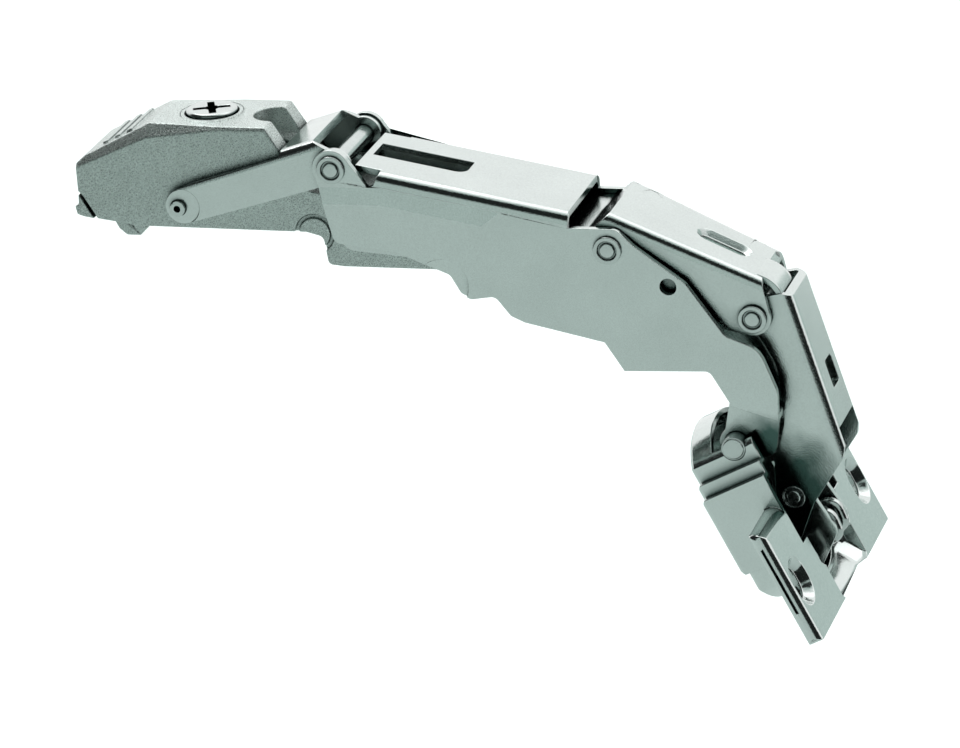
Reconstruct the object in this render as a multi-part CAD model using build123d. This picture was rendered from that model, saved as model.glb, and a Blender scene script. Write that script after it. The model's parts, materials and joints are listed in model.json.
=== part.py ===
from build123d import *
import math
import os

# Wide-angle concealed cabinet hinge, standing fully open.
# X runs along the arm towards the door, Y along the pins, Z up from the arm's seat.
# A side view is drawn as (x, z), and a piece is its side view given a width along Y.

# Pivots in the open pose
REAR_PIVOT = (-36.0, 10.4)
FRONT_PIVOT = (-4.0, 6.4)
KNEE_PIVOT = (-7.1, 18.7)
CROSS_PIVOT = (41.0, 5.7)
ELBOW_PIVOT = (64.9, -6.9)
CUP_PIVOT = (61.2, -29.4)
TAIL_PIVOT = (70.2, -39.8)

# Door opening angle from closed, and the cup's centre on the door face
OPEN_ANGLE = 153.6
CUP_CENTRE = (70.5, -39.9)

# Sheet thicknesses and the stack of layers from the outside in
OUTER_SHEET = 1.2
INNER_SHEET = 1.3
LAYER_GAP = 0.2
OUTER_HALF = 11.0
MIDDLE_HALF = OUTER_HALF - OUTER_SHEET - LAYER_GAP
CAST_GAP = 0.3
ARM_HALF = MIDDLE_HALF - INNER_SHEET - CAST_GAP
ELBOW_HALF = 8.1
TAIL_HALF = ELBOW_HALF - INNER_SHEET - LAYER_GAP
TOE_HALF = 8.8
FAR = 90.0

# Pins
PIN_RADIUS = 1.7
REAR_PIN_RADIUS = 1.4
CUP_PIN_RADIUS = 2.1
SMALL_PIN_RADIUS = 1.0
PIN_HEAD_RADIUS = 2.45
PIN_HEAD_HEIGHT = 0.6
TAIL_HEAD_RADIUS = 2.0
TAIL_HEAD_HEIGHT = 0.35
PIN_FIT = 0.05
DRIFT_ROOM = 0.6

# Arm casting
ARM_WALL = 1.8
ARM_ROOF = 1.8
SOLE = 1.6
SCREW_HEAD_RADIUS = 4.5
SCREW_HEAD_HEIGHT = 1.8
SCREW_STEM_RADIUS = 2.6
SCREW_X = -31.7
ROOF_Z = 24.8
SCOOP_RADIUS = 3.8
SCOOP_START = -23.9
SCOOP_FLOOR = 18.6
SCOOP_WALL = 1.6
LEVER_GAP = 0.55
LEVER_PIVOT = (-48.6, 11.0)
BOSS_CENTRE = (-12.0, 5.9)
BOSS_RADIUS = 2.8
SIDE_SCREW_RADIUS = 2.6
SIDE_SCREW_X = -20.2
SLIDE_SHEET = 1.5
SLIDE_Z = 13.2
SLIDE_GAP = 0.2

# Arm link
ARM_LINK_END = 3.1
ARM_LINK_SHIFT = 0.8

# Outer link
WEB_SLOPE = 10.5
BEND_RADIUS = 2.3
SLOT_LENGTH = 16.6
SLOT_WIDTH = 5.8
PANEL_RISE = 0.55
PANEL_SLOPE = 79.0
INNER_WEB_START = (41.1, 11.5)
INNER_WEB_END = (66.5, 0.1)
KNEE_EAR = 3.4

# Cup and flange
CUP_RADIUS = 17.5
CUP_END_RADIUS = CUP_RADIUS - 1.0
CUP_DEPTH = 12.6
CUP_WALL = 1.0
CUP_EDGE = 0.7
CUP_FLAT_HALF = CUP_RADIUS - 2.9
CHEEK_STEP = 0.6
CHEEK_HALF = OUTER_HALF + CHEEK_STEP
CHEEK_WALL = 1.2
CHEEK_END = -10.3
RIB_HALF = CUP_FLAT_HALF - 1.5
RIB_END = -8.0
LUG_HALF = CUP_FLAT_HALF - 2.9
LUG_START = 7.0
NOTCH_DEPTH = 8.0
NOTCH_END = -11.5
HOLE_SPACING = 45.0
HOLE_EDGE = 5.0
FLANGE_HALF = HOLE_SPACING / 2 + HOLE_EDGE
FLANGE_THICK = 2.9
FLANGE_ROUND = 1.4
FLANGE_START = -2.4
FLANGE_END = 19.3
HOLE_OFFSET = 9.5
HOLE_RADIUS = 2.4
HOLE_SINK_RADIUS = 3.8
HOLE_STRETCH = 1.2
SPRING_CENTRE = (8.8, -5.0)
SPRING_WIRE = 0.95
SPRING_SIDES = 8


def side_plane(y):
    return Plane(origin=(0, y, 0), x_dir=(1, 0, 0), z_dir=(0, -1, 0))


def slab(face, near, far):
    """Prism of a side view between two widths."""
    return extrude(side_plane(near) * face, amount=near - far)


def pair(face, inner, outer):
    """The same plate on the near and the far side."""
    return slab(face, -outer, -inner) + slab(face, inner, outer)


def outline(*corners):
    """Side view from corners (x, z, radius)."""
    points = [(x, z) for x, z, _ in corners]
    radii = [radius for _, _, radius in corners]
    return make_face(FilletPolyline(*points, radius=radii, close=True))


def disc(centre, radius):
    return Pos(centre[0], centre[1]) * Circle(radius)


def rod(centre, radius, near, far):
    return slab(disc(centre, radius), near, far)


def shifted(point, dx, dz):
    return (point[0] + dx, point[1] + dz)


def slot_between(start, end, radius):
    """Side view of a slot whose round ends sit at two points."""
    dx = end[0] - start[0]
    dz = end[1] - start[1]
    centre = ((start[0] + end[0]) / 2, (start[1] + end[1]) / 2)
    slot = SlotCenterToCenter(math.hypot(dx, dz), 2 * radius)
    return Pos(*centre) * Rot(0, 0, math.degrees(math.atan2(dz, dx))) * slot


def rivet(centre, radius, half, head_radius=PIN_HEAD_RADIUS, head_height=PIN_HEAD_HEIGHT):
    """Pin through both plates, its ends spread into heads with a sunk centre."""
    sunk = half + head_height * 0.25
    return rod(centre, radius, -sunk, sunk) + pair(
        disc(centre, head_radius) - disc(centre, radius), half, half + head_height)


# Arm

def arm_body():
    """Cast arm, open below, with a nose, a roof and a low knuckle at the front."""
    side = outline(
        (-54.9, 12.4, 0), (-54.9, 17.4, 0), (-53.2, 18.8, 1.0), (-41.1, ROOF_Z, 1.0),
        (-19.6, ROOF_Z, 1.0), (-16.2, 19.2, 0.8), (-12.5, 13.5, 2.0), (9.0, 11.2, 2.0),
        (11.4, 8.5, 2.0), (11.0, 0.0, 1.5), (-7.0, 0.0, 0), (-9.9, 0.3, 1.0),
        (-10.5, 5.3, 1.2), (-13.5, 6.1, 1.0), (-43.9, 6.3, 0), (-51.7, 7.4, 0), (-54.0, 11.4, 0))
    body = slab(side, -ARM_HALF, ARM_HALF)
    inner_half = ARM_HALF - ARM_WALL
    hollow = outline(
        (-53.4, 2.0, 0), (-53.4, 16.6, 0), (-52.2, 17.4, 0.8), (-40.8, ROOF_Z - ARM_ROOF, 1.0),
        (-20.6, ROOF_Z - ARM_ROOF, 1.0), (-17.9, 18.4, 0.8), (-13.4, 11.9, 1.0), (8.4, 9.6, 1.0),
        (9.6, 7.6, 0), (9.4, -2.0, 0))
    body -= slab(hollow, -inner_half, inner_half)
    body += scoop_tub()
    body -= arm_scoop()
    body -= edge_bevel()
    body -= Pos(SCREW_X, 0, ROOF_Z) * Cylinder(SCREW_STEM_RADIUS + PIN_FIT, 3 * ARM_ROOF)
    body -= Pos(SCREW_X, 0, ROOF_Z) * Cylinder(SCREW_HEAD_RADIUS + 0.2, SCREW_HEAD_HEIGHT)
    body -= rod(REAR_PIVOT, REAR_PIN_RADIUS, -2 * ARM_HALF, 2 * ARM_HALF)
    drift = slot_between(FRONT_PIVOT, shifted(FRONT_PIVOT, -2.5, 0.9), PIN_RADIUS + DRIFT_ROOM)
    body -= slab(drift, -2 * ARM_HALF, 2 * ARM_HALF)
    body -= rod(LEVER_PIVOT, SMALL_PIN_RADIUS, -inner_half - 0.9, inner_half + 0.9)
    sole = outline((-6.9, 0, 0), (9.6, 0, 0), (9.6, SOLE, 0), (-8.2, SOLE, 0))
    body += slab(sole, -inner_half, inner_half)
    ring = disc(BOSS_CENTRE, BOSS_RADIUS + 0.7) - disc(BOSS_CENTRE, BOSS_RADIUS)
    body -= pair(ring, ARM_HALF - 0.5, ARM_HALF + 1)
    return body + nose_ribs() + screw_boss()


def edge_bevel():
    """Bevel on the arm's upper side edges, broad on the nose and narrow on the roof."""
    lip = ((-54.9, 16.7), (-41.4, 22.5), (-28.0, ROOF_Z - 0.6), (-19.9, ROOF_Z - 0.6), (-16.4, 19.0))
    cutters = []
    for start, end in zip(lip, lip[1:]):
        reach = math.hypot(end[0] - start[0], end[1] - start[1])
        ux = (end[0] - start[0]) / reach
        uz = (end[1] - start[1]) / reach
        plane = Plane(origin=(start[0] - 3 * ux, -ARM_HALF, start[1] - 3 * uz),
                      x_dir=(0, 1, 0), z_dir=(ux, 0, uz))
        wedge = make_face(Polyline((-0.6, -0.8), (2.4, 3.2), (-2.0, 3.2), close=True))
        near = extrude(plane * wedge, amount=reach + 3.4)
        cutters += [near, mirror(near, about=Plane.XZ)]
    return cutters


def scoop_floor_plan(grow):
    """Plan of the scoop: a round rear end, running out through the roof's front."""
    radius = SCOOP_RADIUS + grow
    centre = SCOOP_START + SCOOP_RADIUS
    return Pos(centre, 0) * Circle(radius) + Pos(centre + 5, 0) * Rectangle(10, 2 * radius)


def scoop_tub():
    """Walls and floor of the scoop inside the arm."""
    height = ROOF_Z - SCOOP_FLOOR + SCOOP_WALL - 0.5 * ARM_ROOF
    tub = Pos(0, 0, SCOOP_FLOOR - SCOOP_WALL) * extrude(scoop_floor_plan(SCOOP_WALL), amount=height)
    front = outline(
        (-30, 10, 0), (-13.0, 10, 0), (-17.4, 18.6, 0), (-20.4, ROOF_Z - 0.5, 0), (-30, ROOF_Z - 0.5, 0))
    return tub & slab(front, -ARM_HALF, ARM_HALF)


def arm_scoop():
    """Groove in the front of the roof that gives access to the side screw."""
    groove = Pos(0, 0, SCOOP_FLOOR) * extrude(scoop_floor_plan(0), amount=10)
    groove = chamfer(groove.faces().sort_by(Axis.Z)[0].edges().filter_by(
        lambda e: e.center().X < SCOOP_START + SCOOP_RADIUS + 9), SCOOP_RADIUS * 0.5)
    return groove + Pos(SIDE_SCREW_X, 0, SCOOP_FLOOR) * Cylinder(SIDE_SCREW_RADIUS + 0.15, 8)


def nose_ribs():
    """Three grip ribs across the sloped nose."""
    slope = math.degrees(math.atan2(6.0, 12.1))
    ribs = []
    for step in range(3):
        x = -49.6 + 2.3 * step
        z = 18.8 + (x + 53.2) * 6.0 / 12.1
        rib = Box(1.2, 2 * ARM_HALF - 4.5, 0.9)
        ribs.append(Pos(x, 0, z) * Rot(0, -slope, 0) * rib)
    return ribs[0] + ribs[1] + ribs[2]


def screw_boss():
    """Low ring around the depth screw's head."""
    ring = Cylinder(SCREW_HEAD_RADIUS + 1.1, 0.4) - Cylinder(SCREW_HEAD_RADIUS + 0.2, 1.0)
    return Pos(SCREW_X, 0, ROOF_Z) * ring


def cross_recess(radius, depth):
    """Cross drive with four wings around a square centre."""
    wing = Box(2 * radius, radius * 0.38, depth)
    core = Rot(0, 0, 45) * Box(radius * 0.75, radius * 0.75, depth)
    return Rot(0, 0, 22) * (wing + Rot(0, 0, 90) * wing + core)


def depth_screw():
    """Spiral screw under the roof that draws the slide along the arm."""
    head = Pos(SCREW_X, 0, ROOF_Z) * Cylinder(SCREW_HEAD_RADIUS, SCREW_HEAD_HEIGHT)
    head = chamfer(head.faces().sort_by(Axis.Z)[-1].edges(), 0.35)
    low = SLIDE_Z + SLIDE_SHEET + SLIDE_GAP
    stem_height = ROOF_Z - low
    stem = Pos(SCREW_X, 0, low + stem_height / 2) * Cylinder(SCREW_STEM_RADIUS, stem_height)
    cam = Pos(SCREW_X, 0, low + 0.75) * Cylinder(SCREW_STEM_RADIUS + 1.9, 1.5)
    recess = Pos(SCREW_X, 0, ROOF_Z + SCREW_HEAD_HEIGHT / 2) * cross_recess(SCREW_HEAD_RADIUS * 0.72, 4.4)
    return head + stem + cam - recess


def side_screw():
    """Side adjusting screw sunk in the scoop's floor."""
    top = SCOOP_FLOOR - 0.1
    head = Pos(SIDE_SCREW_X, 0, top - 1.0) * Cylinder(SIDE_SCREW_RADIUS, 2.0)
    stem = Pos(SIDE_SCREW_X, 0, top - 4.0) * Cylinder(SIDE_SCREW_RADIUS * 0.7, 6.0)
    recess = Pos(SIDE_SCREW_X, 0, top) * cross_recess(SIDE_SCREW_RADIUS * 0.7, 1.8)
    return head + stem - recess


def clip_slide():
    """Sheet slide inside the arm that hooks on the mounting plate."""
    half = ARM_HALF - ARM_WALL - SLIDE_GAP
    side = outline(
        (-43.6, SLIDE_Z, 0), (-43.6, SLIDE_Z + SLIDE_SHEET, 0), (-25.2, SLIDE_Z + SLIDE_SHEET, 1.8),
        (-25.2, 6.6, 1.2), (-28.0, 6.6, 0), (-28.0, 8.0, 0), (-26.7, 8.2, 0),
        (-26.7, SLIDE_Z, 0))
    plate = slab(side, -half, half)
    grooves = [Pos(SCREW_X + 3.0 * step, 0, SLIDE_Z) * Box(1.0, 2 * half - 4.0, 6.0) for step in (-1, 0, 1)]
    return plate - grooves


def release_lever():
    """Rear lever, from its full-width finger end past the pin to the catch under the arm."""
    half = ARM_HALF - ARM_WALL - CAST_GAP
    inside = outline(
        (-54.2, 7.7, 0), (-49.5, 6.7, 0), (-48.7, 5.0, 0), (-47.3, 3.8, 0), (-44.8, 3.8, 0),
        (-43.4, 5.3, 0), (-45.8, 8.8, 1.0), (-46.4, 12.4, 1.8), (-50.2, 12.4, 1.6), (-51.8, 9.9, 1.2),
        (-53.6, 9.3, 0))
    lever = slab(inside, -half, half)
    rise = LEVER_GAP
    finger = outline(
        (-55.7, 9.6, 0), (-55.4, 8.1, 0), (-54.2, 7.7, 0), (-51.7 - 1.15 * rise, 7.4, 0),
        (-54.0 - 1.15 * rise, 11.4, 0), (-54.9, 12.3 - rise, 0), (-55.0, 9.9, 0))
    lever += slab(finger, -ARM_HALF, ARM_HALF)
    return lever - rod(LEVER_PIVOT, SMALL_PIN_RADIUS + PIN_FIT, -ARM_HALF, ARM_HALF)


def lever_spring():
    """Leaf spring from the arm's roof down to the lever's back."""
    leaf = outline(
        (-48.9, 13.1, 0), (-48.4, 12.8, 0), (-44.6, 19.4, 2.0), (-38.2, 22.7, 0),
        (-38.2, 23.0, 0), (-45.0, 19.8, 2.0))
    return slab(leaf, -2.0, 2.0)


def rear_pins():
    """Two hollow stub rivets that carry the arm link on the arm's walls."""
    inner = ARM_HALF - ARM_WALL
    pins = []
    for side in (-1, 1):
        low, high = sorted((side * inner, side * (MIDDLE_HALF + 0.6)))
        stub = rod(REAR_PIVOT, REAR_PIN_RADIUS, low, high)
        bore_low, bore_high = sorted((side * (MIDDLE_HALF - 1.2), side * (MIDDLE_HALF + 1.0)))
        pins.append(stub - rod(REAR_PIVOT, REAR_PIN_RADIUS * 0.42, bore_low, bore_high))
    return Compound(children=[p for p in pins])


# Links

def arm_link():
    """Channel with a short web beside the knee."""
    dx = KNEE_PIVOT[0] - REAR_PIVOT[0]
    dz = KNEE_PIVOT[1] - REAR_PIVOT[1]
    length = math.hypot(dx, dz)
    frame = Plane(origin=(REAR_PIVOT[0], 0, REAR_PIVOT[1]), x_dir=(dx, 0, dz), z_dir=(0, -1, 0))
    arm_line = (
        Pos(ARM_LINK_SHIFT, 0) * Circle(ARM_LINK_END)
        + Pos(length, 0) * Circle(ARM_LINK_END)
        + make_face(Polyline(
            (ARM_LINK_SHIFT, -ARM_LINK_END), (length, -2.9), (length, 3.1), (length - 2.4, 5.2),
            (length - 8.6, 5.0), (length - 9.2, 3.9), (4.0, 3.6), (ARM_LINK_SHIFT, ARM_LINK_END),
            close=True)))
    half = MIDDLE_HALF
    inner = half - INNER_SHEET
    body = extrude(Plane(frame.location * Pos(0, 0, half)) * arm_line, amount=-2 * half)
    web_top = body.edges().filter_by(GeomType.LINE).filter_by(
        lambda e: abs(abs(e.center().Y) - half) < 0.01
        and abs(e.length - 6.2) < 0.1 and e.center().Z > KNEE_PIVOT[1])
    if web_top:
        body = fillet(web_top, 1.8)
    hollow = make_face(Polyline((-9, -9), (length + 9, -9), (length + 9, 9), (length - 2.4, 9),
                                (length - 2.4, 3.7), (length - 8.6, 3.7), (length - 8.6, 9),
                                (-9, 9), close=True))
    body -= extrude(Plane(frame.location * Pos(0, 0, inner)) * hollow, amount=-2 * inner)
    body -= rod(REAR_PIVOT, REAR_PIN_RADIUS + PIN_FIT, -2 * half, 2 * half)
    body -= rod(KNEE_PIVOT, PIN_RADIUS + PIN_FIT, -2 * half, 2 * half)
    centre = shifted(REAR_PIVOT, ARM_LINK_SHIFT * dx / length, ARM_LINK_SHIFT * dz / length)
    return body - pair(disc(centre, ARM_LINK_END + 0.05), half - 0.2, half + 1)


def web_height(x):
    """Top of the outer link's web at x."""
    return 18.1 - (x - 1.1) * math.tan(math.radians(WEB_SLOPE))


def outer_side():
    """Side view of the outer link down to the joggle above the cup."""
    kx, kz = KNEE_PIVOT
    side = outline(
        (kx - KNEE_EAR, kz, 0), (-9.5, 15.0, 2.0), (-7.3, 5.6, 1.5), (3.9, 4.2, 1.5), (12.9, 0.3, 1.5),
        (14.6, -3.0, 1.2), (16.4, -3.9, 1.0), (20.6, -3.5, 1.5), (23.2, -6.9, 1.5), (25.6, -8.0, 1.0),
        (39.5, -11.1, 0), (42.7, -16.2, 0), (57.6, -15.7, 1.5), (61.2, -21.9, 0), (69.2, -24.3, 0),
        (69.3, -19.0, 5.0), (66.4, -11.4, 5.0), (60.6, -9.2, 1.8), (54.2, 0.0, 3.0), (45.6, 6.4, 2.5),
        (42.6, 9.4, 2.0), (34.2, 9.4, 0), (34.4, web_height(34.4), 0), (1.2, web_height(1.2), 0),
        (0.2, 16.0, 0), (-0.8, 15.6, 0), (kx + KNEE_EAR * 0.72, kz + KNEE_EAR * 0.69, 0), (kx, kz, 0))
    return side + disc(KNEE_PIVOT, KNEE_EAR)


def toe_side():
    """Side view of the lower ears that reach into the cup."""
    cx, cz = CUP_PIVOT
    toe = outline(
        (60.6, -20.4, 0), (69.2, -22.9, 0), (67.9, -31.4, 2.2), (cx + 1.5, cz - 2.9, 0),
        (cx - 2.2, cz - 1.2, 0), (cx - 2.0, cz + 2.0, 0))
    return toe + disc(CUP_PIVOT, 3.0)


def web_slot():
    """Long slot through the outer link's web, one corner rounded."""
    slot = outline((0, -SLOT_WIDTH / 2, 0), (SLOT_LENGTH, -SLOT_WIDTH / 2, 2.0),
                   (SLOT_LENGTH, SLOT_WIDTH / 2, 0), (0, SLOT_WIDTH / 2, 0))
    start = -1.8
    plane = Plane(origin=(start, 0.6, web_height(start) + 2),
                  x_dir=(math.cos(math.radians(WEB_SLOPE)), 0, -math.sin(math.radians(WEB_SLOPE))),
                  z_dir=(math.sin(math.radians(WEB_SLOPE)), 0, math.cos(math.radians(WEB_SLOPE))))
    return extrude(plane * slot, amount=-6)


def raised_panel():
    """Rear part of the near plate, pressed outwards and running down to the flat on its right."""
    top = BEND_RADIUS + 0.1
    base = make_face(Polyline(
        (-16.0, -8.0), (19.2, -8.0), (22.4, web_height(22.4) - top), (1.6, web_height(1.6) - top - 0.1),
        (-16.0, web_height(1.6) - top - 0.1), close=True))
    rise = extrude(side_plane(-OUTER_HALF) * base, amount=PANEL_RISE, taper=PANEL_SLOPE)
    crescent = Pos(11.6, -OUTER_HALF - PANEL_RISE, -1.4) * Rot(92.0, 2.4, 0) * Cylinder(4.6, 0.7)
    rise = rise & slab(outer_side(), -2 * OUTER_HALF, 0)
    return rise - crescent


def outer_link():
    """Large folded channel that crosses from the knee to the cup."""
    inner = OUTER_HALF - OUTER_SHEET
    body = slab(outer_side(), -OUTER_HALF, OUTER_HALF)
    bends = body.edges().filter_by(GeomType.LINE).filter_by(
        lambda e: abs(abs(e.center().Y) - OUTER_HALF) < 0.01).sort_by(Edge.length)[-2:]
    body = fillet(bends, BEND_RADIUS)
    t = OUTER_SHEET / math.cos(math.radians(WEB_SLOPE))
    under = outline(
        (-FAR, -FAR, 0), (FAR, -FAR, 0), (FAR, web_height(FAR) - t, 0), (-FAR, web_height(-FAR) - t, 0))
    under = slab(under, -inner, inner)
    inner_edges = under.edges().filter_by(
        lambda e: abs(abs(e.center().Y) - inner) < 0.01 and e.length > 2 * FAR and e.center().Z > -FAR / 2)
    under = fillet(inner_edges, BEND_RADIUS - OUTER_SHEET)
    body -= under
    body -= Pos(-15.6, 0, 20) * Box(33.2, 2 * inner, 30)
    body -= Pos(54.2, 0, 0) * Box(40, 2 * inner, 60)
    tab = outline((-3.4, web_height(-3.4), 0), (2.4, web_height(2.4), 0),
                  (2.4, web_height(2.4) - t, 0), (-3.4, web_height(-3.4) - t, 0))
    body += slab(tab, -inner + BEND_RADIUS - OUTER_SHEET, inner - BEND_RADIUS + OUTER_SHEET)
    body -= web_slot()
    panel = raised_panel()
    body += panel + mirror(panel, about=Plane.XZ)
    body += pair(toe_side(), TOE_HALF - OUTER_SHEET, TOE_HALF)
    step = outline((60.5, -20.4, 0), (69.25, -23.0, 0), (69.2, -24.3, 0), (61.2, -21.9, 0))
    body += pair(step, TOE_HALF - OUTER_SHEET, OUTER_HALF)
    for pivot, radius in ((KNEE_PIVOT, PIN_RADIUS), (CROSS_PIVOT, PIN_RADIUS),
                          (CUP_PIVOT, CUP_PIN_RADIUS + PIN_FIT), ((51.2, -0.6), 1.45)):
        body -= rod(pivot, radius, -2 * OUTER_HALF, 2 * OUTER_HALF)
    return body


def inner_top(x):
    """Top of the inner link's web at x."""
    run = INNER_WEB_END[0] - INNER_WEB_START[0]
    fall = INNER_WEB_START[1] - INNER_WEB_END[1]
    return INNER_WEB_START[1] - (x - INNER_WEB_START[0]) * fall / run


def inner_plan():
    """Plan of the inner link, tapering from the cross pin to the elbow."""
    taper = (MIDDLE_HALF - ELBOW_HALF) / (ELBOW_PIVOT[0] - CROSS_PIVOT[0])
    start = CROSS_PIVOT[0]
    end = MIDDLE_HALF - taper * (FAR - start)
    return make_face(Polyline(
        (-FAR, -MIDDLE_HALF), (start, -MIDDLE_HALF), (FAR, -end),
        (FAR, end), (start, MIDDLE_HALF), (-FAR, MIDDLE_HALF), close=True))


def inner_link():
    """Tapering channel that crosses inside the outer link."""
    fx, fz = FRONT_PIVOT
    ex, ez = ELBOW_PIVOT
    side = outline(
        (fx, fz - 2.9, 0), (30.0, 0.6, 3.0), (44.0, -0.6, 3.0), (58.0, -8.6, 2.0), (ex, ez - 3.1, 0),
        (ex + 3.1, ez, 0), (66.6, inner_top(66.6), 0), (41.1, inner_top(41.1), 0),
        (37.4, 8.4, 1.5), (22.0, 8.8, 2.0), (fx, fz + 2.9, 0))
    side += disc(FRONT_PIVOT, 2.9)
    side += disc(ELBOW_PIVOT, 3.1)
    plan = extrude(inner_plan(), amount=60, both=True)
    body = slab(side, -MIDDLE_HALF, MIDDLE_HALF) & plan
    top = body.edges().filter_by(GeomType.LINE).filter_by(
        lambda e: e.center().Z > inner_top(e.center().X) - 0.2 and e.center().X > 41.5
        and abs(e.center().Y) > 7)
    body = fillet(top, 2.0)
    hollow_side = outline(
        (-20, -40, 0), (90, -40, 0), (90, inner_top(90) - 1.45, 0), (41.6, inner_top(41.6) - 1.45, 0),
        (37.8, 7.0, 0), (24.0, 7.3, 0), (24.0, 30, 0), (-20, 30, 0))
    hollow = slab(hollow_side, -2 * MIDDLE_HALF, 2 * MIDDLE_HALF)
    thin = offset(inner_plan(), amount=-INNER_SHEET)
    hollow = hollow & extrude(thin, amount=60, both=True)
    body -= hollow
    body -= Pos(76.9, 0, 0) * Box(20, 2 * (ELBOW_HALF - INNER_SHEET), 60)
    body += link_tongue()
    body -= lanced_slot()
    body -= rod(FRONT_PIVOT, PIN_RADIUS, -2 * OUTER_HALF, 2 * OUTER_HALF)
    body -= rod(CROSS_PIVOT, PIN_RADIUS + PIN_FIT, -2 * OUTER_HALF, 2 * OUTER_HALF)
    body -= rod(ELBOW_PIVOT, PIN_RADIUS, -2 * OUTER_HALF, 2 * OUTER_HALF)
    return body


def link_tongue():
    """Narrow tongue that curls down past the end of the web."""
    x = 66.0
    tongue = outline(
        (x, inner_top(x), 0), (70.6, 0.2, 2.6), (72.2, -2.4, 0), (71.0, -3.0, 0),
        (69.6, -0.9, 1.6), (x, inner_top(x) - 1.3, 0))
    return slab(tongue, -2.6, 5.8)


def lanced_slot():
    """Dished oblong window in the inner link's web, narrowing to a slit."""
    run = INNER_WEB_END[0] - INNER_WEB_START[0]
    fall = INNER_WEB_START[1] - INNER_WEB_END[1]
    angle = math.atan2(fall, run)
    centre = 58.6
    plane = Plane(origin=(centre, 0.4, inner_top(centre)),
                  x_dir=(math.cos(angle), 0, -math.sin(angle)), z_dir=(math.sin(angle), 0, math.cos(angle)))
    dish = extrude(plane * SlotOverall(10.4, 4.6), amount=-0.9, taper=50)
    return dish + extrude(plane * SlotOverall(8.4, 1.7), amount=6, both=True)


def cup_link():
    """Narrow channel from the elbow down into the cup."""
    ex, ez = ELBOW_PIVOT
    tx, tz = TAIL_PIVOT
    top = (71.5, -3.4)
    low = (79.4, -30.2)
    side = outline(
        (ex, ez + 3.0, 0), (top[0] - 2.0, top[1] + 0.6, 0), (top[0], top[1], 0), (low[0], low[1], 0),
        (79.0, -32.6, 1.0), (73.6, -41.0, 4.0), (tx + 0.6, tz - 8.6, 1.0), (tx - 1.8, tz - 7.6, 1.0),
        (tx - 3.2, tz, 3.0), (67.0, -34.0, 6.0), (69.2, -26.0, 8.0), (68.2, -15.6, 8.0),
        (ex, ez - 3.0, 1.0))
    side += disc(ELBOW_PIVOT, 3.0)
    body = slab(side, -TAIL_HALF, TAIL_HALF)
    length = math.hypot(low[0] - top[0], low[1] - top[1])
    bends = body.edges().filter_by(GeomType.LINE).filter_by(
        lambda e: abs(abs(e.center().Y) - TAIL_HALF) < 0.01 and e.length > length - 3)
    body = fillet(bends, 1.9)
    ux = (low[0] - top[0]) / length
    uz = (low[1] - top[1]) / length
    t = INNER_SHEET
    inner = TAIL_HALF - t
    start = (top[0] - ux * 20 + uz * t, top[1] - uz * 20 - ux * t)
    end = (low[0] + ux * 40 + uz * t, low[1] + uz * 40 - ux * t)
    hollow = outline((*start, 0), (*end, 0), (end[0] - 60, end[1], 0), (start[0] - 60, start[1], 0))
    body -= slab(hollow, -inner, inner)
    lower = outline((low[0] + 3, low[1] + 3.0, 0), (low[0] + 3, low[1] - 20, 0),
                    (low[0] - 6, low[1] - 20, 0), (low[0] - 6, low[1] + 3.0, 0))
    body -= slab(lower, -inner, inner)
    body -= rod(ELBOW_PIVOT, PIN_RADIUS + PIN_FIT, -2 * OUTER_HALF, 2 * OUTER_HALF)
    body -= rod(TAIL_PIVOT, PIN_RADIUS, -2 * OUTER_HALF, 2 * OUTER_HALF)
    window = Plane(origin=(75.2 + 3, 0.8, -18.6), x_dir=(ux, 0, uz), z_dir=(-uz, 0, ux))
    return body - extrude(window * RectangleRounded(5.0, 4.2, 0.5), amount=8, both=True)


# Cup, drawn in its own frame: s runs into the door, h out of it

def cup_plane():
    angle = math.radians(OPEN_ANGLE - 90)
    return Plane(origin=(CUP_CENTRE[0], 0, CUP_CENTRE[1]),
                 x_dir=(math.cos(angle), 0, -math.sin(angle)),
                 z_dir=(math.sin(angle), 0, math.cos(angle)))


def to_cup(point):
    """A side-view point in the cup's own (s, h)."""
    local = cup_plane().to_local_coords(Vector(point[0], 0, point[1]))
    return (local.X, local.Z)


def cup_plan(grow):
    """Plan of the cup: a circle with two flats, narrower cheeks and a narrower round end."""
    plan = Circle(CUP_RADIUS + grow) & Rectangle(4 * CUP_RADIUS, 2 * (CUP_FLAT_HALF + grow))
    cheek = CHEEK_HALF if grow == 0 else CHEEK_HALF - CHEEK_WALL
    for start, half in ((CHEEK_END, cheek), (RIB_END, RIB_HALF + grow)):
        side = Rectangle(FAR, FAR) - Rectangle(2 * FAR, 2 * half)
        plan -= Pos(start - grow - FAR / 2, 0) * side
    side = Rectangle(FAR, FAR) - Rectangle(2 * FAR, 2 * (LUG_HALF + grow))
    plan -= Pos(LUG_START + grow + FAR / 2, 0) * side
    end = Circle(CUP_END_RADIUS + grow) + Pos(-FAR / 2, 0) * Rectangle(FAR, FAR)
    return plan & end


def cup():
    """Drawn cup with its screw flange."""
    shell = extrude(cup_plan(0), amount=-CUP_DEPTH)
    shell = chamfer(shell.faces().sort_by(Axis.Z)[0].edges(), CUP_EDGE)
    cavity = Pos(0, 0, 3) * extrude(cup_plan(-CUP_WALL), amount=-CUP_DEPTH + CUP_WALL - 3)
    body = shell + flange_plate() - cavity
    notch = 2 * (CUP_RADIUS + NOTCH_END)
    body -= Pos(-CUP_RADIUS, 0, 0) * Box(notch, 2 * (CHEEK_HALF - CHEEK_WALL), 2 * NOTCH_DEPTH)
    body -= strip_dip()
    body += pair(disc((12.6, -6.4), 1.1), LUG_HALF - 0.5, LUG_HALF + 0.35)
    s, h = to_cup(CUP_PIVOT)
    body -= Pos(s, 0, h) * Rot(90, 0, 0) * Cylinder(CUP_PIN_RADIUS, 4 * CHEEK_HALF)
    return cup_plane().location * body


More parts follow.
